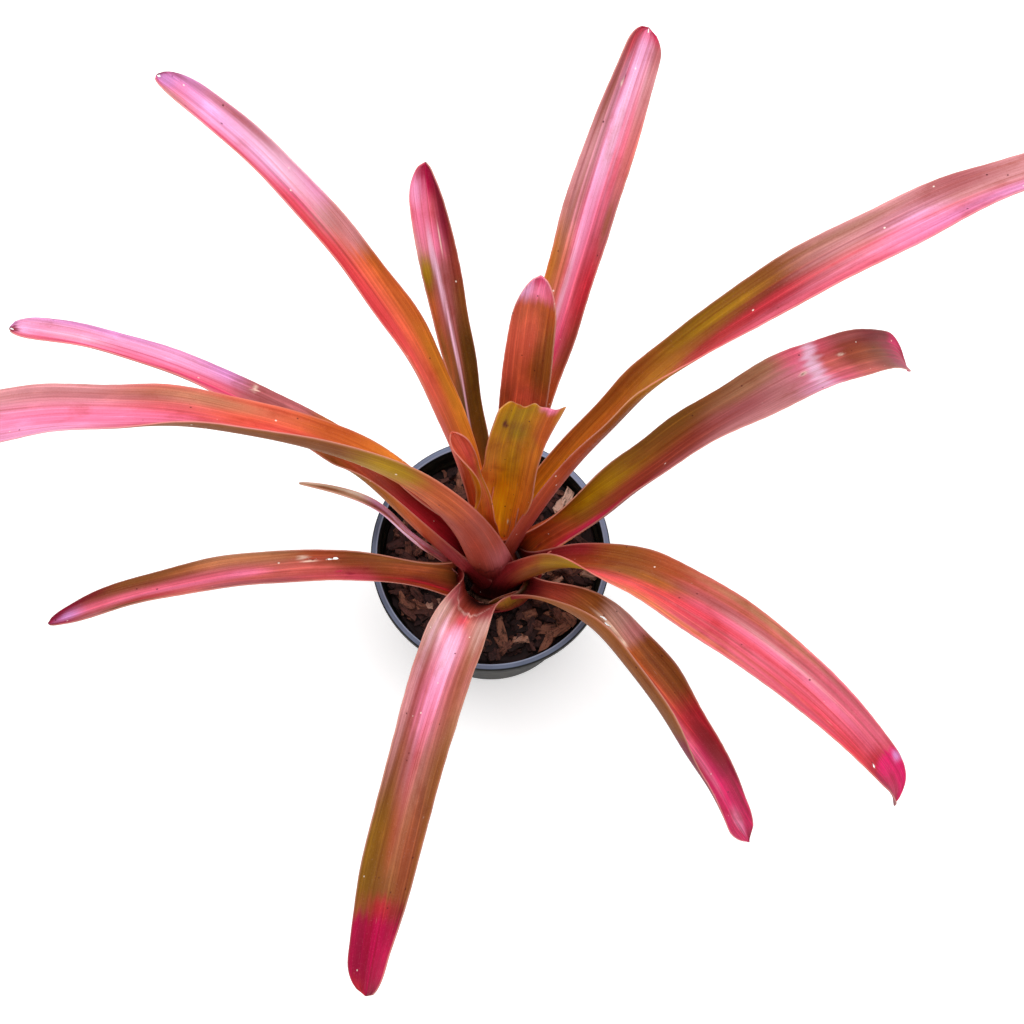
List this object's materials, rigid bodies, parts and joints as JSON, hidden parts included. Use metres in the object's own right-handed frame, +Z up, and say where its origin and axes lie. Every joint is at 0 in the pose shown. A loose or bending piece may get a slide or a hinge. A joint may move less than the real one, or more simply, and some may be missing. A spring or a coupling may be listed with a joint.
{
  "type": "potted bromeliad",
  "caption": "Bromeliad in a round nursery pot: long arching strap leaves whose sheaths wrap round one short stem, growing in bark chips, with a stepped rim on the pot.",
  "frame": {"origin": "centre of the pot's base, on the surface it stands on", "axes": "+Z up, +X to the right and +Y to the back of the plant as it is usually seen"},
  "size_m": [0.8063, 0.5176, 0.4249],
  "materials": {
    "black_plastic": "moulded black plastic with a soft sheen",
    "bark_bed": "packed damp bark",
    "bark_chip": "rough bark",
    "stem": "rough",
    "old_sheath": "dull, drying",
    "young_leaf": "semi-gloss living leaf",
    "dry_leaf": "semi-gloss leaf with a dry tip",
    "grown_leaf": "semi-gloss living leaf"
  },
  "bodies": {
    "root": {"bark_chip_01": "bark_chip", "bark_chip_02": "bark_chip", "bark_chip_03": "bark_chip", "bark_chip_04": "bark_chip", "bark_chip_05": "bark_chip", "bark_chip_06": "bark_chip", "bark_chip_07": "bark_chip", "bark_chip_08": "bark_chip", "bark_chip_09": "bark_chip", "bark_chip_10": "bark_chip", "bark_chip_11": "bark_chip", "bark_chip_12": "bark_chip", "bark_chip_13": "bark_chip", "bark_chip_14": "bark_chip", "bark_chip_15": "bark_chip", "bark_chip_16": "bark_chip", "bark_chip_17": "bark_chip", "bark_chip_18": "bark_chip", "bark_chip_19": "bark_chip", "bark_chip_20": "bark_chip", "bark_chip_21": "bark_chip", "bark_chip_22": "bark_chip", "bark_chip_23": "bark_chip", "bark_chip_24": "bark_chip", "bark_chip_25": "bark_chip", "bark_chip_26": "bark_chip", "growing_medium": "bark_bed", "leaf_back_left": "grown_leaf", "leaf_back_narrow": "grown_leaf", "leaf_back_tall": "grown_leaf", "leaf_centre_back": "young_leaf", "leaf_centre_bent": "young_leaf", "leaf_dry_tip": "dry_leaf", "leaf_front": "grown_leaf", "leaf_front_right": "grown_leaf", "leaf_left_long": "grown_leaf", "leaf_left_low": "grown_leaf", "leaf_left_upper": "grown_leaf", "leaf_right_bent": "grown_leaf", "leaf_right_long": "grown_leaf", "leaf_right_low": "grown_leaf", "leaf_young": "young_leaf", "old_sheath": "old_sheath", "pot": "black_plastic", "stem": "stem"}
  },
  "joints": []
}
